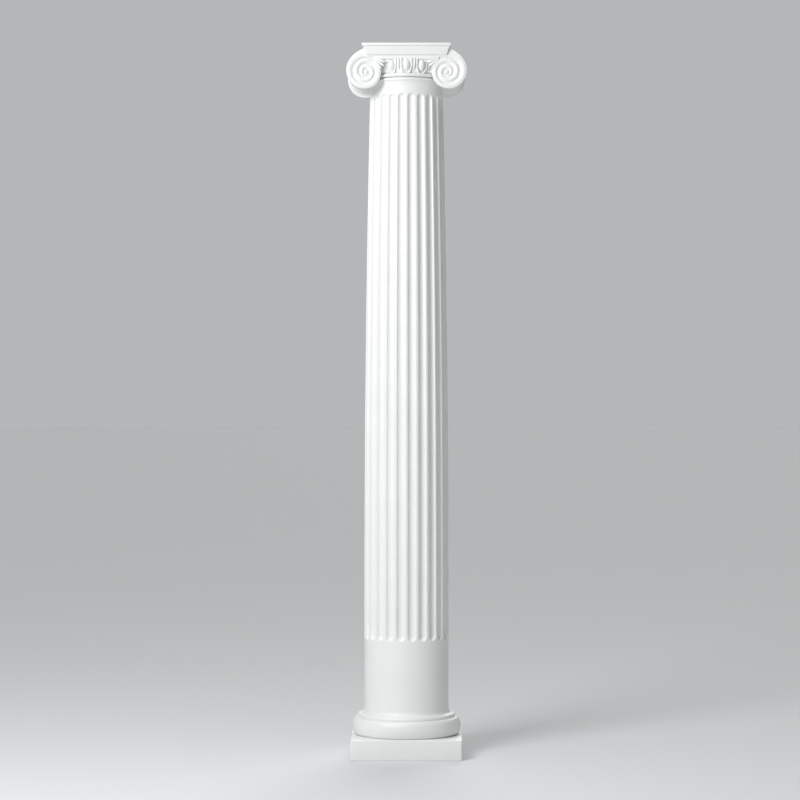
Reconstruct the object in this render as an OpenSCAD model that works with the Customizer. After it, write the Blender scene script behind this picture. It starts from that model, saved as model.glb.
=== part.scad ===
// Ionic display column: a moulded base, a fluted shaft and a scrolled capital.
// Millimetres, +Z up, origin at the centre of the underside.
// The capital's scroll faces look along -Y and +Y.

/* [Column] */
// Height of the whole column
column_h = 2000; // [1200:10:2600]
// Diameter of the shaft's plain lower drum
drum_d = 239; // [200:1:290]
// Diameter of the shaft under its neck
neck_d = 206; // [170:1:215]
// Height above the floor where the shaft starts to taper
taper_start = 450; // [300:10:700]

/* [Base] */
// How far the plinth stands out past the torus on each side
plinth_out = 2; // [1:0.5:45]
// Height of the plinth
plinth_h = 57; // [20:1:120]
// Radius of the plinth's upright edges
plinth_edge_r = 7; // [2:1:20]
// Height of the round torus on the plinth
torus_h = 50; // [30:1:90]
// How far the torus's flat top reaches past the shaft's foot
seat_margin = 1; // [0.5:0.5:10]
// How far the torus bulges past its flat top
torus_bulge = 13.5; // [5:0.5:25]

/* [Shaft foot and neck] */
// How far the foot fillet stands out from the drum
foot_out = 20; // [8:1:20]
// Height of the foot fillet
foot_fillet_h = 11; // [5:1:25]
// Height of the curve that leads from the foot fillet up to the drum
foot_curve_h = 13; // [8:1:40]
// Height of the curve that leads out to the neck fillet
neck_curve_h = 21; // [10:1:40]
// How far the neck fillet stands out from the neck
neck_out = 7; // [3:1:8]
// Height of the neck fillet
neck_fillet_h = 6; // [3:1:12]
// Height of the sunk ring between the neck fillet and the capital
neck_gap_h = 3; // [2:1:8]
// Depth of that sunk ring
neck_gap_depth = 8; // [2:1:10]

/* [Flutes] */
// Number of flutes
flute_count = 24; // [16:1:28]
// Share of each flute's pitch that the flute takes up
flute_share = 0.8; // [0.6:0.01:0.84]
// Depth of a flute at the drum
flute_depth = 9; // [5:0.5:12]
// Height of the plain drum between the foot and the flutes
plain_h = 197; // [40:1:400]
// Height of the plain neck above the flutes
neck_plain_h = 16; // [8:1:60]

/* [Capital] */
// Height of the capital from its seat on the shaft to its top
capital_h = 92; // [88:1:110]
// Height of the round bead under the echinus
bead_h = 10; // [6:1:14]
// How far the bead stands out from the neck
bead_out = 9; // [5:1:12]
// Height of the echinus, the band that carries the eggs
echinus_h = 41; // [36:1:46]
// How far the echinus stands out from the neck at its top
echinus_out = 14; // [8:1:18]
// Clearance around the neck fillet, inside the scrolls
neck_clearance = 1; // [0.5:0.5:3]

/* [Abacus] */
// How far the abacus's top stands out past the scroll faces
abacus_out = 16; // [11:1:41]
// Height of the abacus
abacus_h = 32; // [20:1:34]
// Height of the abacus's top fillet
abacus_fillet_h = 8; // [4:1:14]
// How far the top fillet stands out from the moulding under it
abacus_step = 4; // [2:1:8]
// How far the moulding under the fillet draws in
abacus_draw = 8; // [4:1:10]

/* [Volutes] */
// How far the scrolls' eyes lie outside the neck
eye_out = 9.5; // [6:0.5:22]
// Height of the eyes above the capital's seat
eye_z = 13; // [8:1:18]
// Radius of an eye
eye_r = 6; // [4:0.5:9]
// Outer radius of a scroll, on the side away from the shaft
scroll_r = 56; // [50:1:60]
// How far the scroll draws in with each full turn
scroll_pitch = 17.6; // [15:0.1:19]
// How far the scroll's edge sweeps up to the abacus at its top
scroll_sweep = 7; // [0:0.5:10]
// How far the scroll's middle stands outward from its eye
scroll_shift_x = 3.5; // [0:0.5:5]
// How far the scroll's middle stands above its eye
scroll_shift_z = 2; // [0:0.5:4]
// How far the scroll faces stand out in front of the neck
face_out = 6; // [-3:1:12]
// Thickness of each scroll behind its carved face
scroll_t = 12; // [6:1:20]
// Height of the carved band on a scroll's face
band_relief = 4; // [2:0.5:6]
// Width of the groove between two turns of the band
groove_w = 4; // [2:0.5:6]
// Radius of the bolster between two scrolls, at the scrolls
bolster_end_r = 40; // [36:1:43]
// Radius of the bolster at its middle
bolster_mid_r = 34; // [28:1:38]
// Width of the belt round the bolster's middle
belt_w = 26; // [12:1:40]
// How far the belt stands out from the bolster
belt_out = 3; // [1:0.5:5]

/* [Eggs] */
// Number of eggs in a full circle, of which those between the scrolls are made
egg_count = 16; // [14:1:18]
// Height of an egg
egg_h = 35; // [28:1:36]
// Width of an egg
egg_w = 23; // [16:1:26]
// How far an egg's middle line lies inside the echinus's outer edge
egg_sink = 6; // [3:1:8]

/* [Hidden] */
white = [0.93, 0.93, 0.92];
curve_fn = 96;
turn_steps = 24;
arc_step = 15;
overlap = 1;
join_step = 0.2;

// Heights from the floor
base_h = plinth_h + torus_h;
seat_z = column_h - capital_h;
eye_height = seat_z + eye_z;
abacus_z = column_h - abacus_h;
echinus_z = seat_z + bead_h;

// Shaft outline
drum_r = drum_d / 2;
neck_r = neck_d / 2;
foot_r = drum_r + foot_out;
torus_seat_r = foot_r + seat_margin;
plinth_w = 2 * (torus_seat_r + torus_bulge + plinth_out);
neck_fillet_r = neck_r + neck_out;
neck_gap_r = neck_fillet_r - neck_gap_depth;
foot_fillet_z = base_h + foot_fillet_h;
drum_z = foot_fillet_z + foot_curve_h;
neck_fillet_z = seat_z - neck_gap_h - neck_fillet_h;
neck_z = neck_fillet_z - neck_curve_h;

// The radius falls away from taper_start as a parabola, down to the neck's.
function shaft_r(z) =
    z < taper_start ? drum_r
    : drum_r - (drum_r - neck_r) * pow((z - taper_start) / (neck_z - taper_start), 2);

// Flutes: the cutter's radius and the distance of its middle line from the
// axis, both for a shaft radius r, so that a flute narrows with the shaft.
half_angle = 180 / flute_count * flute_share;
chord_share = sin(half_angle);
sink_share = flute_depth / drum_r - (1 - cos(half_angle));
cut_share = (pow(chord_share, 2) + pow(sink_share, 2)) / (2 * sink_share);
reach_share = cos(half_angle) + cut_share - sink_share;
function cut_r(z) = shaft_r(z) * cut_share;
function cut_middle(z) = shaft_r(z) * reach_share;
flute_low = drum_z + plain_h + drum_r * chord_share;
flute_high = neck_z - neck_plain_h - neck_r * chord_share;
flute_bend = flute_low + 0.55 * (flute_high - flute_low);

// Scroll: radius and middle of the spiral after t turns from its outermost
// point. Turns run from the outside downward and in, and the edge sweeps up
// before the outermost point.
spiral_r0 = scroll_r - scroll_shift_x;
first_turn = -0.25;
last_turn = (spiral_r0 - eye_r - groove_w) / scroll_pitch;
function spiral_r(t) =
    spiral_r0 - scroll_pitch * t + (t < 0 ? scroll_sweep * pow(t / first_turn, 4) : 0);
function spiral_point(t, grow = 0) =
    let (r = spiral_r(t), drift = r / spiral_r0)
    [scroll_shift_x * drift + (r + grow) * cos(360 * t),
     scroll_shift_z * drift - (r + grow) * sin(360 * t)];
canalis_z = eye_height + spiral_point(first_turn + 1)[1];
face_y = neck_r + face_out;
panel_y = face_y - band_relief;
plate_back = panel_y - scroll_t;
eye_x = neck_r + eye_out;

// Echinus
echinus_low_r = neck_r + 2;
echinus_top_r = neck_r + echinus_out;
egg_angle = 360 / egg_count;
egg_r = echinus_top_r - egg_sink;
egg_lean = atan2(echinus_top_r - echinus_low_r, echinus_h);

// Square slab with rounded upright edges, standing on z = 0
module slab(width, height, edge_r) {
    translate([-width / 2 + edge_r, -width / 2, 0]) cube([width - 2 * edge_r, width, height]);
    translate([-width / 2, -width / 2 + edge_r, 0]) cube([width, width - 2 * edge_r, height]);
    for (x = [-1, 1], y = [-1, 1])
        translate([x * (width / 2 - edge_r), y * (width / 2 - edge_r), 0])
            cylinder(r = edge_r, h = height, $fn = 32);
}

// Square plinth with the flattened torus on it
module base() {
    color(white) {
        slab(plinth_w, plinth_h, plinth_edge_r);
        rotate_extrude($fn = curve_fn)
            polygon([
                [0, plinth_h],
                for (a = [-90 : arc_step : 90])
                    [torus_seat_r + torus_bulge * cos(a),
                     plinth_h + torus_h / 2 * (1 + sin(a))],
                [0, base_h]
            ]);
    }
}

// Straight stretch of a flute's cutter between two heights, with a round end
// where the flute ends. The upper stretch is a hair wider and starts a little
// lower, so that it takes in the lower one's end.
module flute_stretch(low, high, round_low, round_high) {
    lean = atan2(cut_middle(high) - cut_middle(low), high - low);
    run = norm([cut_middle(high) - cut_middle(low), high - low]);
    low_r = cut_r(low) + (round_low ? 0 : join_step);
    high_r = cut_r(high) + (round_low ? 0 : join_step);
    translate([cut_middle(low), 0, low])
        rotate([0, lean, 0])
            rotate_extrude($fn = curve_fn / 2)
                polygon([
                    [0, run + (round_high ? high_r : 0)],
                    [0, round_low ? -low_r : -overlap],
                    if (round_low)
                        for (a = [arc_step : arc_step : 90 - arc_step]) low_r * [sin(a), -cos(a)],
                    [low_r, round_low ? 0 : -overlap],
                    [high_r, run],
                    if (round_high)
                        for (a = [arc_step : arc_step : 90 - arc_step])
                            [high_r * cos(a), run + high_r * sin(a)]
                ]);
}

// Solid of revolution of the whole shaft, before the flutes are cut
module shaft_blank() {
    rotate_extrude($fn = curve_fn)
        polygon([
            [0, base_h],
            [foot_r, base_h],
            [foot_r, base_h + foot_fillet_h / 3],
            [foot_r - foot_out / 3, foot_fillet_z],
            for (a = [0 : arc_step : 90])
                [drum_r + foot_out / 2 * (1 - sin(a)), drum_z - foot_curve_h * cos(a)],
            for (z = [flute_low, flute_bend, flute_high, neck_z]) [shaft_r(z), z],
            for (a = [arc_step : arc_step : 90])
                [neck_r + neck_out * (1 - cos(a)), neck_z + neck_curve_h * sin(a)],
            [neck_fillet_r, seat_z - neck_gap_h],
            [neck_gap_r, seat_z - neck_gap_h],
            [neck_gap_r, seat_z],
            [0, seat_z]
        ]);
}

// Fluted shaft, with one fillet between flutes facing the front
module shaft() {
    pitch = 360 / flute_count;
    color(white)
        difference() {
            shaft_blank();
            for (i = [0 : flute_count - 1])
                rotate([0, 0, -90 + (i + 0.5) * pitch]) {
                    flute_stretch(flute_low, flute_bend, true, false);
                    flute_stretch(flute_bend, flute_high, false, true);
                }
        }
}

// Outline of a scroll's first full turn
module scroll_outline() {
    polygon([for (i = [0 : turn_steps]) spiral_point(first_turn + i / turn_steps)]);
}

// The spiral band of a scroll's face, one groove apart from its next turn
module scroll_band() {
    steps = floor((last_turn - 1 - first_turn) * turn_steps);
    polygon([
        for (i = [0 : steps]) spiral_point(first_turn + i / turn_steps),
        for (i = [steps : -1 : 0]) spiral_point(first_turn + 1 + i / turn_steps, groove_w)
    ]);
}

// One scroll at the front right, its face towards -Y
module scroll() {
    translate([eye_x, -panel_y, eye_height])
        rotate([90, 0, 0]) {
            translate([0, 0, -scroll_t]) linear_extrude(height = scroll_t) scroll_outline();
            translate([0, 0, -overlap])
                linear_extrude(height = band_relief + overlap) scroll_band();
            translate([0, 0, -overlap])
                cylinder(r = eye_r, h = band_relief + overlap, $fn = 48);
        }
}

// Bolster from the front scroll to the back one, narrow at its middle, with a belt
module bolster() {
    half = plate_back + overlap;
    translate([eye_x + scroll_shift_x, 0, eye_height + scroll_shift_z])
        rotate([90, 0, 0])
            rotate_extrude($fn = curve_fn)
                polygon([
                    [0, -half],
                    for (y = [-1 : 0.25 : -0.25])
                        [bolster_mid_r + (bolster_end_r - bolster_mid_r) * y * y, half * y],
                    [bolster_mid_r, -belt_w / 2],
                    [bolster_mid_r + belt_out, -belt_w / 2],
                    [bolster_mid_r + belt_out, belt_w / 2],
                    [bolster_mid_r, belt_w / 2],
                    for (y = [0.25 : 0.25 : 1])
                        [bolster_mid_r + (bolster_end_r - bolster_mid_r) * y * y, half * y],
                    [0, half]
                ]);
}

// Round bead and echinus
module echinus() {
    bead_r = bead_h / 2;
    rotate_extrude($fn = curve_fn)
        polygon([
            [0, seat_z],
            for (a = [-90 : arc_step : 90])
                [neck_r + bead_out - bead_r + bead_r * cos(a), seat_z + bead_r * (1 + sin(a))],
            for (a = [0 : arc_step : 90])
                [echinus_low_r + (echinus_top_r - echinus_low_r) * sin(a),
                 echinus_z + echinus_h * (1 - cos(a))],
            [0, echinus_z + echinus_h]
        ]);
}

// One egg, pointed at its foot, leaning out with the echinus
module egg() {
    translate([egg_r, 0, echinus_z + echinus_h / 2])
        rotate([0, egg_lean, 0])
            rotate_extrude($fn = curve_fn / 2)
                polygon([
                    for (a = [-90 : arc_step : 90])
                        [egg_w / 2 * cos(a) * (a < 0 ? 1 - 0.25 * pow(sin(a), 2) : 1),
                         egg_h / 2 * sin(a)]
                ]);
}

// Square abacus: a fillet over a moulding that draws in downward
module abacus() {
    top = face_y + abacus_out;
    curve_top = top - abacus_step;
    fillet_z = column_h - abacus_fillet_h;
    curve_h = abacus_h - abacus_fillet_h;
    profile = [
        for (a = [0 : arc_step : 90])
            [curve_top - abacus_draw * cos(a), abacus_z + curve_h * (1 - cos(a))],
        [top, fillet_z],
        [top, column_h],
        [-top, column_h],
        [-top, fillet_z],
        for (a = [90 : -arc_step : 0])
            [-curve_top + abacus_draw * cos(a), abacus_z + curve_h * (1 - cos(a))]
    ];
    intersection() {
        rotate([90, 0, 0])
            translate([0, 0, -top]) linear_extrude(height = 2 * top) polygon(profile);
        rotate([90, 0, 90])
            translate([0, 0, -top]) linear_extrude(height = 2 * top) polygon(profile);
    }
}

// Block that carries the abacus: the canalis between the scrolls and the
// solid behind it
module canalis() {
    rise = abacus_z + overlap - canalis_z;
    translate([-eye_x, -face_y, canalis_z]) cube([2 * eye_x, 2 * face_y, rise]);
    translate([-eye_x, -plate_back, eye_height + scroll_shift_z])
        cube([2 * eye_x, 2 * plate_back, abacus_z + overlap - eye_height - scroll_shift_z]);
}

// Capital, hollowed where the shaft's neck stands between the scrolls
module capital() {
    color(white)
        difference() {
            union() {
                for (x = [0, 1], y = [0, 1]) mirror([x, 0, 0]) mirror([0, y, 0]) scroll();
                for (x = [0, 1]) mirror([x, 0, 0]) bolster();
                canalis();
                echinus();
                for (side = [-90, 90], i = [-1 : 1]) rotate([0, 0, side + i * egg_angle]) egg();
                abacus();
            }
            translate([0, 0, seat_z - 2 * scroll_r])
                cylinder(r = neck_fillet_r + neck_clearance, h = 2 * scroll_r, $fn = curve_fn);
        }
}

base();
shaft();
capital();
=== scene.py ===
import math

import bmesh
import bpy
import numpy as np
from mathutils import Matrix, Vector


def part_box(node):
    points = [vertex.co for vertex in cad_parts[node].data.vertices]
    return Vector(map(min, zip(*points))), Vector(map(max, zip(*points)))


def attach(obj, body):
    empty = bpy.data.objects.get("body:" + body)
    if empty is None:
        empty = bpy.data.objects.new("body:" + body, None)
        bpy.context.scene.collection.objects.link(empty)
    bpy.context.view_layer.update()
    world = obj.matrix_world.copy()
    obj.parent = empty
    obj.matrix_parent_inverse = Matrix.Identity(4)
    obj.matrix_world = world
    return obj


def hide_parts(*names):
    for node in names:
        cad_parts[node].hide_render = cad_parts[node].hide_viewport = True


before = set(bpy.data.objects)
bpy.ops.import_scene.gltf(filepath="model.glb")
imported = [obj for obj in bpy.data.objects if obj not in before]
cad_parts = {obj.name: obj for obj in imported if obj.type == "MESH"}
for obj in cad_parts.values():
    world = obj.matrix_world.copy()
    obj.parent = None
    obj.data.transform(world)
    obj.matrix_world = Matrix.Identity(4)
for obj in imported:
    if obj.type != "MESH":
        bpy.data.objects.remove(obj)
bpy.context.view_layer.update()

bl_info = {
    "name": "Ionic display column",
    "version": (1, 0, 0),
    "blender": (4, 5, 0),
    "location": "View3D > Sidebar > Column",
    "description": "Builds the base, fluted shaft and scrolled capital of an Ionic display column",
    "category": "Add Mesh",
}

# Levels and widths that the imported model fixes, in metres. All lengths below are in metres too,
# unless a name or comment says otherwise.
BASE_LOW, BASE_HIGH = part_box("base")
SHAFT_LOW, SHAFT_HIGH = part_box("shaft")
_, CAPITAL_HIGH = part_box("capital")
FLOOR_Z = BASE_LOW.z
SEAT_Z = SHAFT_LOW.z
NECK_Z = SHAFT_HIGH.z
TOP_Z = CAPITAL_HIGH.z
PLINTH_HALF = BASE_HIGH.x
ABACUS_HALF = CAPITAL_HIGH.y
MM = 0.001
# Facets round the torus and the bead.
ROUND_STEPS = 144


def hex_colour(code):
    """Linear RGBA of an sRGB hex colour."""
    channels = [int(code[i : i + 2], 16) / 255 for i in (0, 2, 4)]
    linear = [c / 12.92 if c <= 0.04045 else ((c + 0.055) / 1.055) ** 2.4 for c in channels]
    return (*linear, 1.0)


def length(name, description, default):
    """A length property in metres."""
    return bpy.props.FloatProperty(
        name=name, description=description, default=default, min=0.0, unit="LENGTH", precision=4
    )


def number(name, description, default):
    """A plain number property."""
    return bpy.props.FloatProperty(name=name, description=description, default=default)


def count(name, description, default):
    """A whole number property."""
    return bpy.props.IntProperty(name=name, description=description, default=default, min=1)


def angle(name, description, degrees):
    """An angle property, given in degrees."""
    return bpy.props.FloatProperty(
        name=name, description=description, default=math.radians(degrees), subtype="ANGLE"
    )


def colour(name, description, code):
    """A colour property, given as sRGB hex."""
    return bpy.props.FloatVectorProperty(
        name=name, description=description, default=hex_colour(code), size=4, subtype="COLOR",
        min=0.0, max=1.0,
    )


class ColumnBaseSizes(bpy.types.PropertyGroup):
    """Sizes of the plinth and torus."""

    plinth_h: length("Plinth height", "Height of the square plinth", 0.057)
    corner_r: length("Corner radius", "Radius of the plinth's upright edges", 0.007)
    edge_r: length("Edge radius", "Radius of the plinth's level edges", 0.0022)
    seat_r: length("Seat radius", "Radius of the torus's flat top", 0.1405)
    bulge: length("Torus bulge", "How far the torus bulges past its flat top", 0.0135)


class ColumnShaftSizes(bpy.types.PropertyGroup):
    """Sizes of the shaft and its flutes."""

    drum_r: length("Drum radius", "Radius of the plain lower drum", 0.1195)
    neck_r: length("Neck radius", "Radius under the neck", 0.103)
    taper_start: length("Taper start", "Height above the floor where the taper starts", 0.45)
    foot_fillet_h: length("Foot fillet height", "Height of the fillet at the foot", 0.011)
    foot_curve_h: length("Foot curve height", "Height of the curve above the foot fillet", 0.013)
    neck_fillet_h: length("Neck fillet height", "Height of the fillet at the neck", 0.006)
    neck_curve_h: length("Neck curve height", "Height of the curve under the neck fillet", 0.021)
    neck_out: length("Neck fillet reach", "How far the neck fillet stands out", 0.007)
    gap_h: length("Sunk ring height", "Height of the sunk ring under the capital", 0.003)
    gap_depth: length("Sunk ring depth", "Depth of the sunk ring under the capital", 0.008)
    flutes: count("Flutes", "Number of flutes round the shaft", 24)
    flute_share: number("Flute share", "Share of the pitch that a flute takes up", 0.8)
    flute_depth: length("Flute depth", "Depth of a flute at the drum", 0.009)
    plain_h: length("Plain drum height", "Height of the plain drum under the flutes", 0.197)
    neck_plain_h: length("Plain neck height", "Height of the plain neck above the flutes", 0.016)
    arris_r: length("Arris softness", "How far an arris is rounded on each side", 0.0009)


class ColumnCapitalSizes(bpy.types.PropertyGroup):
    """Sizes of the scrolls, echinus and abacus."""

    abacus_h: length("Abacus height", "Height of the abacus", 0.032)
    abacus_fillet_h: length("Abacus fillet height", "Height of the abacus's top fillet", 0.008)
    abacus_step: length("Abacus step", "How far the fillet stands out", 0.004)
    abacus_draw: length("Abacus draw", "How far the moulding draws in", 0.008)
    eye_x: length("Eye distance", "Distance of a scroll's eye from the middle", 0.1125)
    eye_rise: length("Eye height", "Height of the eyes above the capital's seat", 0.013)
    eye_r: length("Eye radius", "Radius of an eye", 0.0062)
    spiral_r: length("Scroll radius", "Radius of the spiral at its outermost point", 0.0524)
    pitch: length("Scroll pitch", "How far the spiral draws in with each turn", 0.0176)
    sweep: length("Scroll sweep", "How far the scroll's edge sweeps up to the abacus", 0.007)
    shift_x: length("Scroll shift", "How far the spiral's middle stands outward", 0.0035)
    shift_z: length("Scroll lift", "How far the spiral's middle stands above the eye", 0.002)
    face_y: length("Face distance", "Distance of the scroll faces from the middle", 0.109)
    groove_depth: length("Groove depth", "Depth of the spiral groove", 0.0055)
    rim_t: length("Rim thickness", "Thickness of a scroll's rim", 0.015)
    waist: number("Bolster waist", "Size of the bolster's middle against its ends", 0.68)
    belt_w: length("Belt width", "Width of the belt round the bolster", 0.026)
    bead_h: length("Bead height", "Height of the bead under the echinus", 0.01)
    bead_out: length("Bead reach", "How far the bead stands out from the neck", 0.009)
    echinus_h: length("Echinus height", "Height of the egg-and-dart band", 0.041)
    echinus_foot: length("Echinus foot", "Radius of the echinus at its foot", 0.105)
    echinus_out: length("Echinus reach", "How far the echinus leans out", 0.0075)
    eggs: count("Eggs", "Number of eggs in a full circle", 16)


class ColumnFinish(bpy.types.PropertyGroup):
    """Colours and gloss of the moulded shell."""

    shell_light: colour("Shell", "The gel coat's colour", "F4F5F4")
    shell_dark: colour("Shell shade", "The gel coat where it is thinner", "EDEEED")
    roughness: number("Roughness", "Roughness of the satin gel coat", 0.42)
    peel_mm: number("Orange peel", "Size of the gel coat's ripples in millimetres", 3.0)
    floor: colour("Floor", "Colour of the studio floor", "DEE0E1")


def sizes(context, group):
    """The property group of that name."""
    return getattr(context.scene, group)


# Meshes ---------------------------------------------------------------------


def patch_mesh(name, patches, merge=2e-6):
    """One mesh from patches of points, each rows x columns x 3, welded where they meet."""
    verts = []
    faces = []
    for patch in patches:
        patch = np.asarray(patch, float)
        rows, columns = patch.shape[:2]
        start = len(verts)
        verts.extend(map(tuple, patch.reshape(-1, 3)))
        for i in range(rows - 1):
            for j in range(columns - 1):
                a = start + i * columns + j
                faces.append((a, a + 1, a + columns + 1, a + columns))
    mesh = bpy.data.meshes.new(name)
    mesh.from_pydata(verts, [], faces)
    clean(mesh, merge)
    return mesh


def clean(mesh, merge=2e-6):
    """Welds a mesh, drops collapsed faces and turns its faces outward."""
    bm = bmesh.new()
    bm.from_mesh(mesh)
    bmesh.ops.remove_doubles(bm, verts=bm.verts, dist=merge)
    bmesh.ops.dissolve_degenerate(bm, edges=bm.edges, dist=merge)
    bmesh.ops.recalc_face_normals(bm, faces=bm.faces)
    bm.to_mesh(mesh)
    bm.free()


def revolve(profile, steps, span=2 * math.pi, start=0.0):
    """Patch of a profile of (radius, height) points turned about the column's axis."""
    turns = start + span * np.arange(steps + 1) / steps
    r = np.array([p[0] for p in profile])[:, None]
    z = np.array([p[1] for p in profile])[:, None]
    return np.stack([r * np.cos(turns), r * np.sin(turns), z + 0 * turns], axis=-1)


def arc(centre, radius, first, last, steps):
    """Points of a circular arc, angles in degrees, radius one number or two."""
    rx, rz = radius if isinstance(radius, tuple) else (radius, radius)
    angles = np.radians(np.linspace(first, last, steps + 1))
    return [(centre[0] + rx * math.cos(a), centre[1] + rz * math.sin(a)) for a in angles]


def square_ring(half, z, corner_r, steps):
    """Closed ring of a square with rounded corners."""
    ring = []
    inner = half - corner_r
    for k, (sx, sy) in enumerate([(1, 1), (-1, 1), (-1, -1), (1, -1)]):
        for x, y in arc((sx * inner, sy * inner), corner_r, 90 * k, 90 * k + 90, steps):
            ring.append((x, y, z))
    return ring + ring[:1]


def square_loft(profile, corner_r, steps=6):
    """Closed patch of a square moulding: profile is (half width, height) from bottom to top."""
    rings = [square_ring(half, z, corner_r, steps) for half, z in profile]
    low = [(0, 0, profile[0][1])] * len(rings[0])
    high = [(0, 0, profile[-1][1])] * len(rings[0])
    return [low, *rings, high]


def mirrored(patches, x=1, y=1):
    """Copies of patches mirrored in x or y."""
    return [np.asarray(p, float) * np.array([x, y, 1.0]) for p in patches]


def finish_piece(name, mesh, material, sharp=38.0):
    """Links a mesh as a finished piece that rides on the column's one body."""
    mesh.name = name
    mesh.shade_smooth()
    mesh.set_sharp_from_angle(angle=math.radians(sharp))
    mesh.materials.clear()
    mesh.materials.append(material)
    piece = bpy.data.objects.new(name, mesh)
    bpy.context.scene.collection.objects.link(piece)
    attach(piece, "root")
    return piece


# Geometry Nodes -------------------------------------------------------------


def add_node(tree, kind, settings=(), inputs=(), links=()):
    """Adds a node: settings are its attributes, inputs its values by socket, links its sources."""
    node = tree.nodes.new(kind)
    for key, value in dict(settings).items():
        setattr(node, key, value)
    for key, value in dict(inputs).items():
        node.inputs[key].default_value = value
    for key, source in dict(links).items():
        tree.links.new(source, node.inputs[key])
    return node


def ring_tree():
    """Node tree that sets copies of a shape round the column's axis, then welds them."""
    tree = bpy.data.node_groups.new("Repeat round the axis", "GeometryNodeTree")
    face = tree.interface
    face.new_socket("Geometry", in_out="OUTPUT", socket_type="NodeSocketGeometry")
    face.new_socket("Geometry", in_out="INPUT", socket_type="NodeSocketGeometry")
    for label, kind in (
        ("Copies", "NodeSocketInt"),
        ("First Angle", "NodeSocketFloat"),
        ("Step Angle", "NodeSocketFloat"),
        ("Weld Distance", "NodeSocketFloat"),
        ("Material", "NodeSocketMaterial"),
    ):
        face.new_socket(label, in_out="INPUT", socket_type=kind)
    given = tree.nodes.new("NodeGroupInput").outputs
    points = add_node(tree, "GeometryNodePoints", links={"Count": given["Copies"]})
    index = add_node(tree, "GeometryNodeInputIndex")
    turn = add_node(
        tree, "ShaderNodeMath", {"operation": "MULTIPLY_ADD"},
        links={0: index.outputs[0], 1: given["Step Angle"], 2: given["First Angle"]},
    )
    rotation = add_node(tree, "ShaderNodeCombineXYZ", links={"Z": turn.outputs[0]})
    copies = add_node(
        tree, "GeometryNodeInstanceOnPoints",
        links={
            "Points": points.outputs[0],
            "Instance": given["Geometry"],
            "Rotation": rotation.outputs[0],
        },
    )
    real = add_node(tree, "GeometryNodeRealizeInstances", links={0: copies.outputs[0]})
    weld = add_node(
        tree, "GeometryNodeMergeByDistance",
        links={"Geometry": real.outputs[0], "Distance": given["Weld Distance"]},
    )
    paint = add_node(
        tree, "GeometryNodeSetMaterial",
        links={"Geometry": weld.outputs[0], "Material": given["Material"]},
    )
    add_node(tree, "NodeGroupOutput", links={0: paint.outputs[0]})
    return tree


def repeat_round(mesh, copies, first, step, material, weld=4e-6):
    """Plain mesh of copies of a mesh set round the axis, made by Geometry Nodes."""
    name = "Repeat round the axis"
    tree = bpy.data.node_groups.get(name) or ring_tree()
    holder = bpy.data.objects.new("repeat_holder", mesh)
    bpy.context.scene.collection.objects.link(holder)
    modifier = holder.modifiers.new("Repeat", "NODES")
    modifier.node_group = tree
    values = {
        "Copies": copies,
        "First Angle": first,
        "Step Angle": step,
        "Weld Distance": weld,
        "Material": material,
    }
    for socket in tree.interface.items_tree:
        if socket.item_type == "SOCKET" and socket.in_out == "INPUT" and socket.name in values:
            modifier[socket.identifier] = values[socket.name]
    bpy.context.view_layer.update()
    depsgraph = bpy.context.evaluated_depsgraph_get()
    result = bpy.data.meshes.new_from_object(holder.evaluated_get(depsgraph))
    bpy.data.objects.remove(holder)
    clean(result)
    return result


# Materials ------------------------------------------------------------------


def gel_coat(context, name):
    """Satin white gel coat on moulded glass-fibre: an even, slightly soft gloss, with the
    faint ripple of a sprayed mould and hardly any change of colour."""
    if name in bpy.data.materials:
        return bpy.data.materials[name]
    look = sizes(context, "column_finish")
    material = bpy.data.materials.new(name)
    material.use_nodes = True
    tree = material.node_tree
    shader = tree.nodes["Principled BSDF"]
    place = add_node(tree, "ShaderNodeTexCoord").outputs["Object"]
    # Broad mottling, where the coat is thicker or thinner: patches about 80 mm across.
    mottle = add_node(
        tree, "ShaderNodeTexNoise", inputs={"Scale": 1 / 0.08, "Detail": 3.0},
        links={"Vector": place},
    )
    shade = add_node(
        tree, "ShaderNodeMix", {"data_type": "RGBA"},
        {6: tuple(look.shell_dark), 7: tuple(look.shell_light)},
        {0: mottle.outputs[0]},
    )
    # Gloss changes a little with handling: patches about 25 mm across.
    handling = add_node(
        tree, "ShaderNodeTexNoise", inputs={"Scale": 1 / 0.025, "Detail": 4.0},
        links={"Vector": place},
    )
    gloss = add_node(
        tree, "ShaderNodeMapRange",
        inputs={"To Min": look.roughness - 0.05, "To Max": look.roughness + 0.05},
        links={"Value": handling.outputs[0]},
    )
    # Orange peel of the sprayed coat.
    peel = add_node(
        tree, "ShaderNodeTexNoise", inputs={"Scale": 1000 / look.peel_mm, "Detail": 2.0},
        links={"Vector": place},
    )
    ripple = add_node(
        tree, "ShaderNodeBump", inputs={"Strength": 0.05, "Distance": 0.0004},
        links={"Height": peel.outputs[0]},
    )
    tree.links.new(shade.outputs[2], shader.inputs["Base Color"])
    tree.links.new(gloss.outputs[0], shader.inputs["Roughness"])
    tree.links.new(ripple.outputs[0], shader.inputs["Normal"])
    shader.inputs["IOR"].default_value = 1.5
    shader.inputs["Coat Weight"].default_value = 0.15
    shader.inputs["Coat Roughness"].default_value = 0.3
    return material


def studio_floor_material(context):
    """Matt painted studio floor."""
    look = sizes(context, "column_finish")
    material = bpy.data.materials.new("Matt studio paint")
    material.use_nodes = True
    shader = material.node_tree.nodes["Principled BSDF"]
    shader.inputs["Base Color"].default_value = tuple(look.floor)
    shader.inputs["Roughness"].default_value = 0.9
    return material


# Base -----------------------------------------------------------------------


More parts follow.
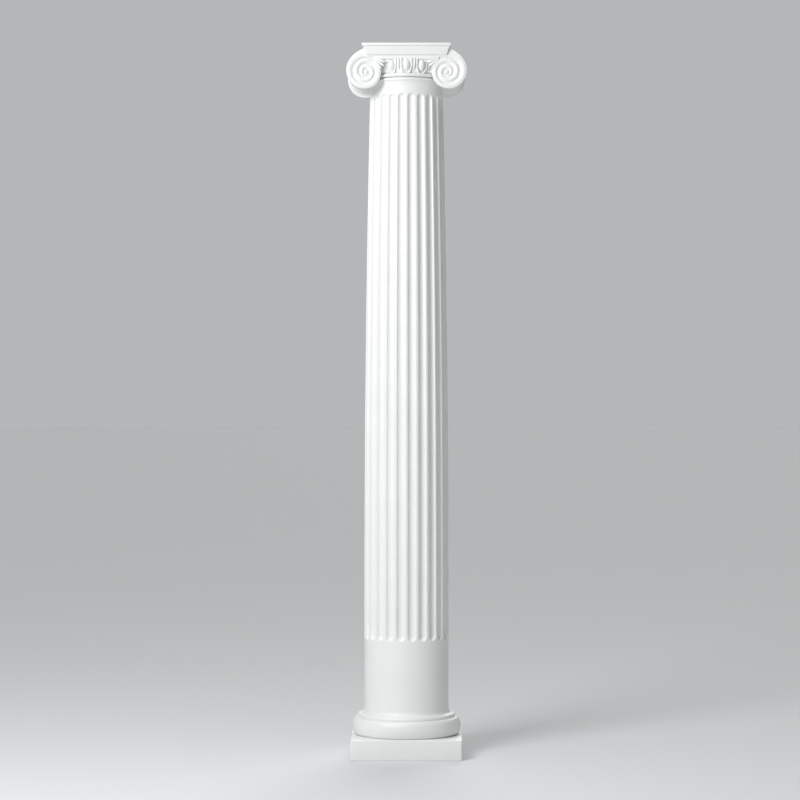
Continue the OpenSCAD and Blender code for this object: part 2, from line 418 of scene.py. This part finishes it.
def base_patches(s):
    """Plinth with softened edges, and the torus ring on it."""
    edge = s.edge_r
    ring_width = 0.04
    plinth_top = FLOOR_Z + s.plinth_h
    profile = [
        *arc((PLINTH_HALF - edge, FLOOR_Z + edge), edge, -90, 0, 3),
        *arc((PLINTH_HALF - edge, plinth_top - edge), edge, 0, 90, 3),
    ]
    inner_r = s.seat_r - ring_width
    height = SEAT_Z - plinth_top
    torus = [
        (inner_r, plinth_top),
        *arc((s.seat_r, plinth_top + height / 2), (s.bulge, height / 2), -90, 90, 28),
        (inner_r, SEAT_Z),
        (inner_r, plinth_top),
    ]
    return [square_loft(profile, s.corner_r), revolve(torus, ROUND_STEPS)]


class COLUMN_OT_base(bpy.types.Operator):
    """Make the square plinth and the torus on it"""

    bl_idname = "column.base"
    bl_label = "Base"

    def execute(self, context):
        s = sizes(context, "column_base")
        material = gel_coat(context, "Satin gel coat base")
        mesh = patch_mesh("base", base_patches(s))
        piece = finish_piece("column_base", mesh, material)
        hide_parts("base")
        return {"FINISHED"}


# Shaft ----------------------------------------------------------------------


# Where the rows of the plain surface lie, from a flute's edge to the middle of its fillet.
FILLET_SHARES = (0.3, 0.65, 1.0)
# How far a rounded arris lies inside the sharp one, as a share of its rounding.
ARRIS_SINK = 0.25


class Flute:
    """Rule for one flute of the shaft. Its section is part of a circle whose radius (cut) and
    distance from the axis (reach) are shares of the shaft's radius."""

    def __init__(self, s):
        self.s = s
        self.pitch = 2 * math.pi / s.flutes
        self.half = self.pitch / 2 * s.flute_share
        self.foot_top = SEAT_Z + s.foot_fillet_h + s.foot_curve_h
        self.neck_low = NECK_Z - s.gap_h - s.neck_fillet_h - s.neck_curve_h
        sagitta = s.flute_depth - s.drum_r * (1 - math.cos(self.half))
        chord = s.drum_r * math.sin(self.half)
        self.cut = (sagitta**2 + chord**2) / (2 * sagitta) / s.drum_r
        self.reach = math.cos(self.half) + math.sqrt(self.cut**2 - math.sin(self.half) ** 2)
        self.wall = math.asin(math.sin(self.half) / self.cut)
        self.low = self.foot_top + s.plain_h + chord
        self.high = self.neck_low - s.neck_plain_h - s.neck_r * math.sin(self.half)

    def radius(self, z):
        """Shaft radius at a height: a parabola above the start of the taper."""
        s = self.s
        share = max(0.0, z - s.taper_start) / (self.neck_low - s.taper_start)
        return s.drum_r - (s.drum_r - s.neck_r) * share**2

    def on_shaft(self, turn, z):
        """Point on the shaft's plain surface, turned from the flute's middle."""
        r = self.radius(z)
        return np.array([r * math.cos(turn), r * math.sin(turn), z])

    def fillet(self, z):
        """Points of half a fillet, from its middle to the flute's arris."""
        outer = self.half + self.s.arris_r / self.radius(z)
        turns = [outer + share * (self.pitch / 2 - outer) for share in reversed(FILLET_SHARES)]
        points = [self.on_shaft(turn, z) for turn in (*turns, outer)]
        return [*points, self.sunk(self.on_shaft(self.half, z))]

    def section(self, z, steps):
        """Points across the flute at a height, from one wall's support to the other's."""
        r = self.radius(z)
        limit = self.wall - self.s.arris_r / (self.cut * r)
        spread = limit * np.linspace(-1, 1, steps + 1)
        return np.stack(
            [
                r * (self.reach - self.cut * np.cos(spread)),
                r * self.cut * np.sin(spread),
                np.full(steps + 1, z),
            ],
            axis=-1,
        )

    def sunk(self, point):
        """A point of an arris drawn in towards the axis, so that the arris reads as rounded."""
        flat = math.hypot(point[0], point[1])
        share = (flat - ARRIS_SINK * self.s.arris_r) / flat
        return np.array([point[0] * share, point[1] * share, point[2]])


def straight_patch(f, rows, steps):
    """One pitch of the fluted stretch, from one fillet's middle to the next."""
    patch = []
    for z in np.linspace(f.low, f.high, rows + 1):
        right = f.fillet(z)[::-1]
        left = [point * np.array([1, -1, 1]) for point in reversed(right)]
        patch.append([*left, *f.section(z, steps), *right])
    return np.array(patch)


def slerp(a, b, centre, t):
    """Point at share t of the way from a to b about a centre. The radius changes evenly."""
    u, v = a - centre, b - centre
    first, last = np.linalg.norm(u), np.linalg.norm(v)
    turn = math.acos(min(1.0, float(u @ v) / (first * last)))
    if turn < 1e-6:
        return a + (b - a) * t
    way = (math.sin((1 - t) * turn) * u / first + math.sin(t * turn) * v / last) / math.sin(turn)
    return centre + (first + (last - first) * t) * way


def end_patches(f, z, way, level, steps, side_steps):
    """Round end of a flute at height z, pointing way (-1 down, 1 up), and the plain surface
    round it as far as the height level."""
    r = f.radius(z)
    soft = f.s.arris_r
    centre = np.array([r * f.reach, 0.0, z])
    deep = centre - np.array([r * f.cut, 0.0, 0.0])
    section = f.section(z, steps)
    rims = []
    for j, q in enumerate(np.linspace(-1, 1, steps + 1)):
        turn = f.half * math.sin(q * math.pi / 2)
        drop_squared = 2 * r * r * f.reach * (math.cos(turn) - math.cos(f.half))
        rim = f.on_shaft(turn, z + way * math.sqrt(max(0.0, drop_squared)))
        arc_length = r * f.cut * math.acos(
            max(-1.0, min(1.0, float((rim - centre) @ (deep - centre)) / (r * f.cut) ** 2))
        )
        inner = slerp(rim, deep, centre, soft / arc_length)
        outer_turn = turn + soft / r * math.sin(q * math.pi / 2)
        outer = f.on_shaft(outer_turn, rim[2] + way * soft * math.cos(q * math.pi / 2))
        rims.append((section[j], inner, f.sunk(rim), outer, outer_turn))
    depth = abs(level - z)
    across = steps - 2 * side_steps
    border = []
    for j in range(steps + 1):
        if j <= side_steps:
            border.append((-f.pitch / 2, z + way * depth * j / side_steps))
        elif j >= steps - side_steps:
            border.append((f.pitch / 2, z + way * depth * (steps - j) / side_steps))
        else:
            border.append((-f.pitch / 2 + f.pitch * (j - side_steps) / across, level))
    bowl = [[slerp(s, i, centre, t) for s, i, *_ in rims] for t in np.linspace(0, 1, 7)]
    collar = [[i for _, i, *_ in rims], [a for _, _, a, *_ in rims], [o for *_, o, _ in rims]]
    for share in FILLET_SHARES:
        row = []
        for (_, _, _, outer, outer_turn), (turn, height) in zip(rims, border):
            row.append(
                f.on_shaft(
                    outer_turn + share * (turn - outer_turn),
                    outer[2] + share * (height - outer[2]),
                )
            )
        collar.append(row)
    return [np.array(bowl), np.array(collar)]


def shaft_cell(s):
    """One pitch of the shaft, from its underside to its top."""
    f = Flute(s)
    steps, side_steps, rows = 16, 4, 26
    margin = 0.008
    foot_edge_r = 0.001
    foot_round_h = 0.0075
    low_level = f.low - s.drum_r * math.sin(f.half) - margin
    high_level = f.high + s.neck_r * math.sin(f.half) + margin
    foot_r = SHAFT_HIGH.x
    fillet_top = SEAT_Z + s.foot_fillet_h
    foot_out = foot_r - s.drum_r
    foot_round = (foot_out * 0.33, foot_round_h)
    foot_curve = (foot_out * 0.5, s.foot_curve_h)
    inner_r = s.drum_r / 2
    foot = [
        (inner_r, SEAT_Z),
        *arc((foot_r - foot_edge_r, SEAT_Z + foot_edge_r), foot_edge_r, -90, 0, 2),
        *arc((foot_r - foot_round[0], fillet_top - foot_round_h), foot_round, 0, 90, 7),
        *arc((s.drum_r + foot_curve[0], f.foot_top), foot_curve, 270, 180, 9),
    ]
    plain = [(f.radius(z), z) for z in np.linspace(f.foot_top, low_level, 5)[1:]]
    neck_fillet_low = f.neck_low + s.neck_curve_h
    fillet_r = s.neck_r + s.neck_out
    ring_r = fillet_r - s.gap_depth
    round_r = 0.0012
    neck = [
        *[(f.radius(z), z) for z in np.linspace(high_level, f.neck_low, 3)],
        *arc((fillet_r, f.neck_low), (s.neck_out, s.neck_curve_h), 180, 90, 9)[1:],
        *arc((fillet_r - round_r, neck_fillet_low + round_r), round_r, -90, 0, 3)[1:],
        *arc((fillet_r - round_r, NECK_Z - s.gap_h - round_r), round_r, 0, 90, 3),
        (ring_r, NECK_Z - s.gap_h),
        (ring_r, NECK_Z),
        (inner_r, NECK_Z),
    ]
    across = steps - 2 * side_steps
    turned = [
        revolve(foot + plain, across, f.pitch, -f.pitch / 2),
        revolve(neck, across, f.pitch, -f.pitch / 2),
        revolve([(0, SEAT_Z), (inner_r, SEAT_Z)], across, f.pitch, -f.pitch / 2),
        revolve([(inner_r, NECK_Z), (0, NECK_Z)], across, f.pitch, -f.pitch / 2),
    ]
    ends = [
        *end_patches(f, f.low, -1, low_level, steps, side_steps),
        *end_patches(f, f.high, 1, high_level, steps, side_steps),
    ]
    return [straight_patch(f, rows, steps), *ends, *turned]


class COLUMN_OT_shaft(bpy.types.Operator):
    """Make the fluted shaft with its foot and neck"""

    bl_idname = "column.shaft"
    bl_label = "Shaft"

    def execute(self, context):
        s = sizes(context, "column_shaft")
        material = gel_coat(context, "Satin gel coat shaft")
        cell = patch_mesh("shaft_cell", shaft_cell(s))
        step = 2 * math.pi / s.flutes
        mesh = repeat_round(cell, s.flutes, -math.pi / 2 + step / 2, step, material)
        piece = finish_piece("column_shaft", mesh, material)
        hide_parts("shaft")
        return {"FINISHED"}


# Capital: scrolls -------------------------------------------------------------


# Where the points across a scroll's band lie, from its outer edge to its inner one.
BAND_SHARES = [0, 0.012, 0.05, 0.11, 0.22, 0.34, 0.46, 0.58, 0.69, 0.79, 0.87, 0.93, 0.975, 1.0]
# Facets in one turn of a scroll.
TURN_STEPS = 72


class Scroll:
    """Rule for one scroll: x runs outward from the eye and z upward, in metres."""

    first = -0.25

    def __init__(self, s):
        self.s = s
        self.eye_z = NECK_Z + s.eye_rise
        self.last = (s.spiral_r - s.eye_r) / s.pitch

    def radius(self, turns):
        """Radius of the spiral after so many turns from its outermost point."""
        sweep = self.s.sweep * (turns / self.first) ** 4 if turns < 0 else 0.0
        return max(self.s.spiral_r - self.s.pitch * turns, self.s.eye_r) + sweep

    def top_line(self):
        """Points across the band at its start under the abacus, in the column's middle plane."""
        outer, inner = self.radius(self.first), self.radius(self.first + 1)
        return [self.place(self.first, outer - (outer - inner) * share, 0.0)
                for share in BAND_SHARES]

    def place(self, turns, r, y):
        """Point at a radius on the spiral's ray, for the right-hand scroll."""
        s = self.s
        drift = r / s.spiral_r
        a = 2 * math.pi * turns
        x = s.eye_x + s.shift_x * drift + r * math.cos(a)
        z = self.eye_z + s.shift_z * drift - r * math.sin(a)
        return np.array([x, y, z])

    def across(self, share, turns):
        """Height of the band over the groove, at a share of its width from its outer edge.
        The outer edge of the first turn is free, so that its rim stays fuller."""
        crest, fullness = 0.42, 1.4
        side = crest if share < crest else 1 - crest
        drop = 0.5 - 0.5 * math.cos(math.pi * abs((share - crest) / side) ** fullness)
        rim_share, rim_end, rim_fade = 0.6, 0.72, 0.2
        rim = rim_share * min(1.0, max(0.0, (rim_end - turns) / rim_fade))
        return 1 - drop * (1 - rim) if share < crest else 1 - drop

    def flat(self, share):
        """Height of the smooth band that runs under the abacus."""
        edge = 0.8
        return 1.0 if share < edge else math.sqrt(max(0.0, 1 - ((share - edge) / (1 - edge)) ** 2))

    def face_height(self, share, turns):
        """Distance of the band's surface from the column's middle plane. The band is smooth
        under the abacus and takes on its groove on the way down."""
        fade = 0.3
        t = min(1.0, max(0.0, (turns - self.first) / fade))
        grooved = t * t * (3 - 2 * t)
        height = grooved * self.across(share, turns) + (1 - grooved) * self.flat(share)
        return self.s.face_y - self.s.groove_depth * (1 - height)


def scroll_face(c):
    """Front face of the right-hand scroll: the spiral band and the eye."""
    steps = math.ceil((c.last - c.first) * TURN_STEPS)
    end_fade = 1.6
    eye_lift = 0.0002
    low = c.s.face_y - c.s.groove_depth
    band = []
    for i in range(steps + 1):
        turns = c.first + i / TURN_STEPS
        outer, inner = c.radius(turns), c.radius(turns + 1)
        width = outer - inner
        fade = min(1.0, width / c.s.pitch * end_fade)
        row = []
        for share in BAND_SHARES:
            y = low + (c.face_height(share, turns) - low) * fade
            row.append(c.place(turns, outer - width * share, -y))
        band.append(row)
    eye = []
    for share in np.linspace(1, 0, 7):
        row = []
        for i in range(TURN_STEPS + 1):
            turns = c.first + i / TURN_STEPS
            swell = math.sqrt(max(0.0, 1 - share**2))
            y = low + (c.s.groove_depth + eye_lift) * swell
            row.append(c.place(turns, c.s.eye_r * share, -y))
        eye.append(row)
    return [band, eye]


def scroll_outline(c):
    """Edge of a scroll's face: the outer turn, then back across the band at the top. Each point
    comes with its share of the band's width."""
    edge = [c.place(c.first + i / TURN_STEPS, c.radius(c.first + i / TURN_STEPS), 0.0)
            for i in range(TURN_STEPS + 1)]
    closing = c.top_line()[-2::-1]
    shares = [0.0] * len(edge) + BAND_SHARES[-2::-1]
    return np.array(edge + closing), shares


def bolster_profile(s):
    """Bolster from the front face to the middle: distances from the middle plane, each with
    the bolster's size there against the scroll's outline."""
    face = s.face_y - s.groove_depth
    back = face - s.rim_t
    belt = s.belt_w / 2
    neck = back - 0.001
    mouth_size, flare = 0.9, 2.2
    cord_w, cord_foot, cord_swell = 0.3, 0.015, 0.05
    band_w, band_foot, band_swell = 0.66, 0.02, 0.045
    profile = [(face, 1.0), (back + 0.0015, 1.0), (back + 0.0004, 0.99), (back, 0.975), (neck, 0.93)]
    for t in np.linspace(0, 1, 12)[1:]:
        size = s.waist + (mouth_size - s.waist) * (1 - t) ** flare
        profile.append((neck - (neck - belt) * t, size))
    # The belt: a cord along its edge, then half of its round band.
    for a in np.radians(np.linspace(0, 180, 9)):
        y = belt - belt * cord_w * (1 - math.cos(a)) / 2
        profile.append((y, s.waist + cord_foot + cord_swell * math.sin(a)))
    for a in np.radians(np.linspace(0, 90, 6)):
        y = belt * band_w * (1 - 2 * a / math.pi)
        profile.append((y, s.waist + band_foot + band_swell * math.sin(a)))
    return profile


def scroll_bodies(s):
    """The right-hand pair of scrolls joined by its bolster, and its mirror image."""
    c = Scroll(s)
    outline, shares = scroll_outline(c)
    pivot_rise = 0.02
    pivot = np.array([s.eye_x + s.shift_x, 0.0, c.eye_z + pivot_rise])
    rings = []
    for y, size in bolster_profile(s):
        ring = pivot + (outline - pivot) * size
        ring[:, 1] = -y
        rings.append(ring)
    # The first ring follows the face's own edge.
    for i, share in enumerate(shares):
        turns = c.first + i / TURN_STEPS if i <= TURN_STEPS else c.first
        rings[0][i, 1] = -c.face_height(share, turns)
    back = [ring * np.array([1, -1, 1]) for ring in reversed(rings[:-1])]
    face = scroll_face(c)
    right = [*face, np.array(rings + back), *mirrored(face, y=-1)]
    return right + mirrored(right, x=-1)


def canalis_body(s):
    """Band that runs straight between the scrolls under the abacus, front and back, with the
    fascia over the eggs and the sunk ground in the corners beside the scrolls."""
    c = Scroll(s)
    ends = c.top_line()
    columns = []
    for t in (1.0, 0.5, 0.0, -0.5, -1.0):
        front = []
        for point, share in zip(ends, BAND_SHARES):
            front.append((point[0] * t, -c.face_height(share, c.first), point[2]))
        back = [(x, -y, z) for x, y, z in reversed(front)]
        columns.append([*front, *back, front[0]])
    grid = np.array(columns)
    caps = [end * 0 + end.mean(axis=1, keepdims=True) for end in (grid[:1], grid[-1:])]
    strip = np.concatenate([caps[0], grid, caps[1]])
    overlap = 0.002
    corner_r = 0.002
    high = TOP_Z - s.abacus_h + 0.001
    fascia_low = NECK_Z + s.bead_h + s.echinus_h - overlap
    fascia_half = (s.eye_x - 0.022, s.face_y - 0.0008, 1.0)
    ground_low = ends[-1][2] - 0.012
    ground_half = (s.eye_x, s.face_y - s.groove_depth, 1.0)
    fascia = np.array(square_loft([(1.0, fascia_low), (1.0, high)], corner_r)) * fascia_half
    ground = np.array(square_loft([(1.0, ground_low), (1.0, high)], corner_r)) * ground_half
    return [strip, fascia, ground]


class COLUMN_OT_scrolls(bpy.types.Operator):
    """Make the four scrolls, their bolsters and the canalis between them"""

    bl_idname = "column.scrolls"
    bl_label = "Scrolls and bolsters"

    def execute(self, context):
        s = sizes(context, "column_capital")
        material = gel_coat(context, "Satin gel coat capital")
        mesh = patch_mesh("scrolls", scroll_bodies(s))
        piece = finish_piece("capital_scrolls", mesh, material, sharp=60.0)
        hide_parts("capital")
        mesh = patch_mesh("canalis", canalis_body(s))
        finish_piece("capital_canalis", mesh, material, sharp=60.0)
        return {"FINISHED"}


# Capital: abacus ----------------------------------------------------------------


class COLUMN_OT_abacus(bpy.types.Operator):
    """Make the square abacus and the block behind the scrolls"""

    bl_idname = "column.abacus"
    bl_label = "Abacus"

    def execute(self, context):
        s = sizes(context, "column_capital")
        low = TOP_Z - s.abacus_h
        fillet = TOP_Z - s.abacus_fillet_h
        curve_top = ABACUS_HALF - s.abacus_step
        curve_h = s.abacus_h - s.abacus_fillet_h
        edge, foot_edge, corner_r = 0.0012, 0.0015, 0.002
        shares = 1 - np.cos(np.radians(range(15, 91, 5)))
        profile = [
            (curve_top - s.abacus_draw - foot_edge, low),
            *arc((curve_top - s.abacus_draw, low + foot_edge), foot_edge, -90, 0, 2)[1:],
            *[(curve_top - s.abacus_draw * (1 - t), low + curve_h * t) for t in shares],
            *arc((ABACUS_HALF - edge, fillet + edge), edge, -90, 0, 3),
            *arc((ABACUS_HALF - edge, TOP_Z - edge), edge, 0, 90, 3),
        ]
        inset, overlap = 0.022, 0.001
        block_half = s.face_y - inset
        block_low = NECK_Z + s.eye_rise
        block = square_loft([(block_half, block_low), (block_half, low + overlap)], corner_r)
        material = gel_coat(context, "Satin gel coat capital")
        mesh = patch_mesh("abacus", [square_loft(profile, corner_r), block])
        finish_piece("capital_abacus", mesh, material)
        return {"FINISHED"}


# Capital: echinus ---------------------------------------------------------------


def echinus_relief(x, v, half):
    """Height of the carving at x across and v up, in a unit half wide on each side of its egg.
    All lengths are in millimetres. The shell's place and width are shares of the egg's."""
    ground_z, foot_drop, foot_h = -2.5, 4.0, 16
    egg_w, egg_v, egg_low, egg_high, egg_rise = 9.8, 23.0, 18.0, 16.5, 10.0
    shell_place, shell_w, shell_high, shell_rise = 1.42, 0.19, 60.0, 6.5
    dart_low, dart_h, dart_tip_w, dart_gain, tip_low, tip_h, dart_rise = 9, 28, 1.2, 1.8, 8, 5, 6.5

    def dome(q):
        """Half-round swelling, full at 0 and gone at 1."""
        return np.sqrt(np.clip(1 - q**2, 0, 1))

    ground = ground_z - foot_drop * np.clip(1 - v / foot_h, 0, 1)
    below = v < egg_v
    reach = np.hypot(x / egg_w, (v - egg_v) / np.where(below, egg_low, egg_high))
    egg = egg_rise * dome(reach) + ground_z
    around = np.hypot(x / egg_w, (v - egg_v) / np.where(below, egg_low, shell_high))
    off_shell = (around - shell_place) / shell_w
    shell = np.where(np.abs(off_shell) < 1, shell_rise * dome(off_shell) + ground_z, ground)
    dart_w = dart_tip_w + dart_gain * np.clip((v - dart_low) / dart_h, 0, 1)
    tip = np.clip((v - tip_low) / tip_h, 0, 1)
    dart = dart_rise * dome((half - np.abs(x)) / dart_w) * tip + ground
    return np.maximum(np.maximum(ground, egg), np.maximum(shell, dart))


def echinus_unit(s):
    """One egg with its shell and half a dart on each side, wrapped on the echinus."""
    across, up = 64, 56
    half_turn = math.pi / s.eggs
    mean_r = s.echinus_foot + s.echinus_out * 0.7
    core_r = s.echinus_foot - 0.012
    turns = np.linspace(-half_turn, half_turn, across + 1)
    x = turns * mean_r / MM

    def row(radius, v):
        """Points across the unit at a height share v."""
        z = NECK_Z + s.bead_h + s.echinus_h * v
        return np.stack([radius * np.cos(turns), radius * np.sin(turns), z + 0 * turns], axis=-1)

    patch = [row(core_r, 0)]
    for v in np.linspace(0, 1, up + 1):
        lean = math.acos(1 - v)
        height = np.full_like(x, v * s.echinus_h / MM)
        relief = echinus_relief(x, height, half_turn * mean_r / MM)
        patch.append(row(s.echinus_foot + s.echinus_out * math.sin(lean) + relief * MM, v))
    return [np.array([*patch, row(core_r, 1), row(core_r, 0)])]


class COLUMN_OT_echinus(bpy.types.Operator):
    """Make the egg-and-dart band and the bead under it"""

    bl_idname = "column.echinus"
    bl_label = "Egg and dart"

    def execute(self, context):
        s = sizes(context, "column_capital")
        neck_r = sizes(context, "column_shaft").neck_r
        material = gel_coat(context, "Satin gel coat capital")
        unit = patch_mesh("echinus_unit", echinus_unit(s))
        step = 2 * math.pi / s.eggs
        ring = repeat_round(unit, s.eggs, -math.pi / 2, step, material)
        finish_piece("capital_egg_and_dart", ring, material, sharp=75.0)
        bead_r = s.bead_h / 2
        middle = neck_r + s.bead_out - bead_r
        inner, core = neck_r - 0.02, s.echinus_foot - 0.004
        bead_top = NECK_Z + s.bead_h
        core_top = bead_top + s.echinus_h
        bead = [
            (inner, NECK_Z),
            *arc((middle, NECK_Z + bead_r), bead_r, -90, 90, 14),
            (core, bead_top),
            (core, core_top),
            (inner, core_top),
            (inner, NECK_Z),
        ]
        mesh = patch_mesh("bead", [revolve(bead, ROUND_STEPS)])
        finish_piece("capital_bead", mesh, material)
        return {"FINISHED"}


# Capital: half palmettes ----------------------------------------------------------


def leaf_patch(root, tip, sag, width, rise, base_y):
    """Half-round leaf on the front face, from root to tip, bending by sag."""
    root, tip = np.array(root), np.array(tip)
    along = tip - root
    side = np.array([-along[1], along[0]]) / np.linalg.norm(along)
    root_width, widest, depth = 0.3, 0.74, 2.4
    patch = []
    for t in np.linspace(0, 1, 15):
        middle = root + along * t + side * sag * 4 * t * (1 - t)
        past = max(0.0, t - widest) / (1 - widest)
        swell = root_width + (1 - root_width) * math.sin(math.pi / 2 * min(1.0, t / widest))
        swell *= math.sqrt(max(0.0, 1 - past**2)) if t > 0 else 0.0
        row = []
        for a in np.linspace(0, 2 * math.pi, 17):
            flat = middle + side * width / 2 * swell * math.cos(a)
            lift = (rise if math.sin(a) > 0 else depth * rise) * swell * math.sin(a)
            row.append((flat[0], base_y - lift, flat[1]))
        patch.append(row)
    return patch


def palmette_patches(s):
    """Leaves that fan from a scroll's inner shoulder over the echinus, right-hand front."""
    eye_z = NECK_Z + s.eye_rise
    root = (s.eye_x - 0.021, eye_z + 0.0385)
    width, rise, sunk = 0.0085, 0.005, 0.004
    # Each leaf's direction in degrees, its length and how far it bends.
    leaves = [(184, 0.034, -0.003), (202, 0.035, -0.002), (218, 0.037, 0.0), (234, 0.037, 0.002)]
    patches = []
    for turn, reach, sag in leaves:
        a = math.radians(turn)
        tip = (root[0] + reach * math.cos(a), root[1] + reach * math.sin(a))
        patches.append(leaf_patch(root, tip, sag, width, rise, sunk - s.face_y))
    return patches


class COLUMN_OT_palmettes(bpy.types.Operator):
    """Make the half palmettes in the corners between scrolls and eggs"""

    bl_idname = "column.palmettes"
    bl_label = "Half palmettes"

    def execute(self, context):
        s = sizes(context, "column_capital")
        material = gel_coat(context, "Satin gel coat capital")
        one = palmette_patches(s)
        patches = one + mirrored(one, x=-1) + mirrored(one, y=-1) + mirrored(one, x=-1, y=-1)
        mesh = patch_mesh("palmettes", patches)
        finish_piece("capital_palmettes", mesh, material)
        return {"FINISHED"}


# Stage ----------------------------------------------------------------------------


def hang_light(data, place, target):
    """Puts a light at a place and turns it to a target."""
    lamp = bpy.data.objects.new(data.name, data)
    lamp.location = place
    toward = Vector(target) - lamp.location
    lamp.rotation_euler = toward.to_track_quat("-Z", "Y").to_euler()
    bpy.context.scene.collection.objects.link(lamp)


def soft_light(name, side, elevation, strength, spread):
    """Soft distant light from an angle round the front (left is minus) and an elevation."""
    data = bpy.data.lights.new(name, "SUN")
    data.energy = strength
    data.angle = math.radians(spread)
    turn, tilt = math.radians(side), math.radians(elevation)
    away, middle = 6.0, 1.0
    place = (
        away * math.sin(turn) * math.cos(tilt),
        -away * math.cos(turn) * math.cos(tilt),
        middle + away * math.sin(tilt),
    )
    hang_light(data, place, (0.0, 0.0, middle))


def soft_box(name, place, target, size, power):
    """Square softbox at a place, turned to a target."""
    data = bpy.data.lights.new(name, "AREA")
    data.shape = "SQUARE"
    data.size = size
    data.energy = power
    hang_light(data, place, target)


def studio_world(low, high):
    """Surroundings of a studio: pale at floor level, dimmer overhead. The heights are those of
    a direction one unit long."""
    world = bpy.data.worlds.new("studio")
    world.use_nodes = True
    tree = world.node_tree
    direction = add_node(tree, "ShaderNodeTexCoord").outputs["Generated"]
    parts = add_node(tree, "ShaderNodeSeparateXYZ", links={0: direction})
    strength = add_node(
        tree, "ShaderNodeMapRange", {"interpolation_type": "SMOOTHSTEP"},
        {"From Min": 0.16, "From Max": 0.4, "To Min": low, "To Max": high},
        {"Value": parts.outputs["Z"]},
    )
    background = tree.nodes["Background"]
    background.inputs["Color"].default_value = hex_colour("F6F8FA")
    tree.links.new(strength.outputs[0], background.inputs["Strength"])
    return world


class COLUMN_OT_stage(bpy.types.Operator):
    """Set up the camera, the pale floor and the studio light"""

    bl_idname = "column.stage"
    bl_label = "Stage"

    def execute(self, context):
        scene = context.scene
        height = TOP_Z - FLOOR_Z
        floor_r = 300.0
        # The camera stands level, a little under half the column's height above the floor.
        data = bpy.data.cameras.new("camera")
        data.sensor_width = 36.0
        data.lens = 108.0
        data.shift_x = -0.0081
        data.shift_y = 0.025
        camera = bpy.data.objects.new("camera", data)
        camera.location = (0.0, -3.41 * height, 0.4735 * height)
        camera.rotation_euler = (math.pi / 2, 0.0, 0.0)
        scene.collection.objects.link(camera)
        scene.camera = camera
        mesh = patch_mesh("floor", [revolve([(0.0, FLOOR_Z), (floor_r, FLOOR_Z)], 64)])
        mesh.materials.append(studio_floor_material(context))
        floor = bpy.data.objects.new("floor", mesh)
        scene.collection.objects.link(floor)
        soft_box("key", (-1.85, -2.75, 2.7), (0.0, 0.0, 0.9), 1.4, 88)
        soft_light("overhead", -25, 76, 1.05, 60)
        soft_light("back", 172, 35, 1.0, 35)
        scene.world = studio_world(0.5, 0.04)
        scene.view_settings.view_transform = "Standard"
        return {"FINISHED"}


class COLUMN_PT_panel(bpy.types.Panel):
    """Lists the column's steps and sizes"""

    bl_idname = "COLUMN_PT_panel"
    bl_label = "Ionic column"
    bl_space_type = "VIEW_3D"
    bl_region_type = "UI"
    bl_category = "Column"

    def draw(self, context):
        for step in STEPS:
            self.layout.operator(step.bl_idname)
        for group in GROUPS:
            box = self.layout.box()
            for key in GROUPS[group].__annotations__:
                box.prop(sizes(context, group), key)


GROUPS = {
    "column_base": ColumnBaseSizes,
    "column_shaft": ColumnShaftSizes,
    "column_capital": ColumnCapitalSizes,
    "column_finish": ColumnFinish,
}
STEPS = (
    COLUMN_OT_stage,
    COLUMN_OT_base,
    COLUMN_OT_shaft,
    COLUMN_OT_scrolls,
    COLUMN_OT_abacus,
    COLUMN_OT_echinus,
    COLUMN_OT_palmettes,
)


def register():
    """Registers the sizes, the steps and the panel."""
    for group, cls in GROUPS.items():
        bpy.utils.register_class(cls)
        setattr(bpy.types.Scene, group, bpy.props.PointerProperty(type=cls))
    for cls in (*STEPS, COLUMN_PT_panel):
        bpy.utils.register_class(cls)


def unregister():
    """Removes what register added."""
    for cls in reversed((*STEPS, COLUMN_PT_panel)):
        bpy.utils.unregister_class(cls)
    for group, cls in GROUPS.items():
        delattr(bpy.types.Scene, group)
        bpy.utils.unregister_class(cls)


def main():
    """Runs every step in order."""
    register()
    for step in STEPS:
        area, action = step.bl_idname.split(".")
        getattr(getattr(bpy.ops, area), action)()


if __name__ == "__main__":
    main()
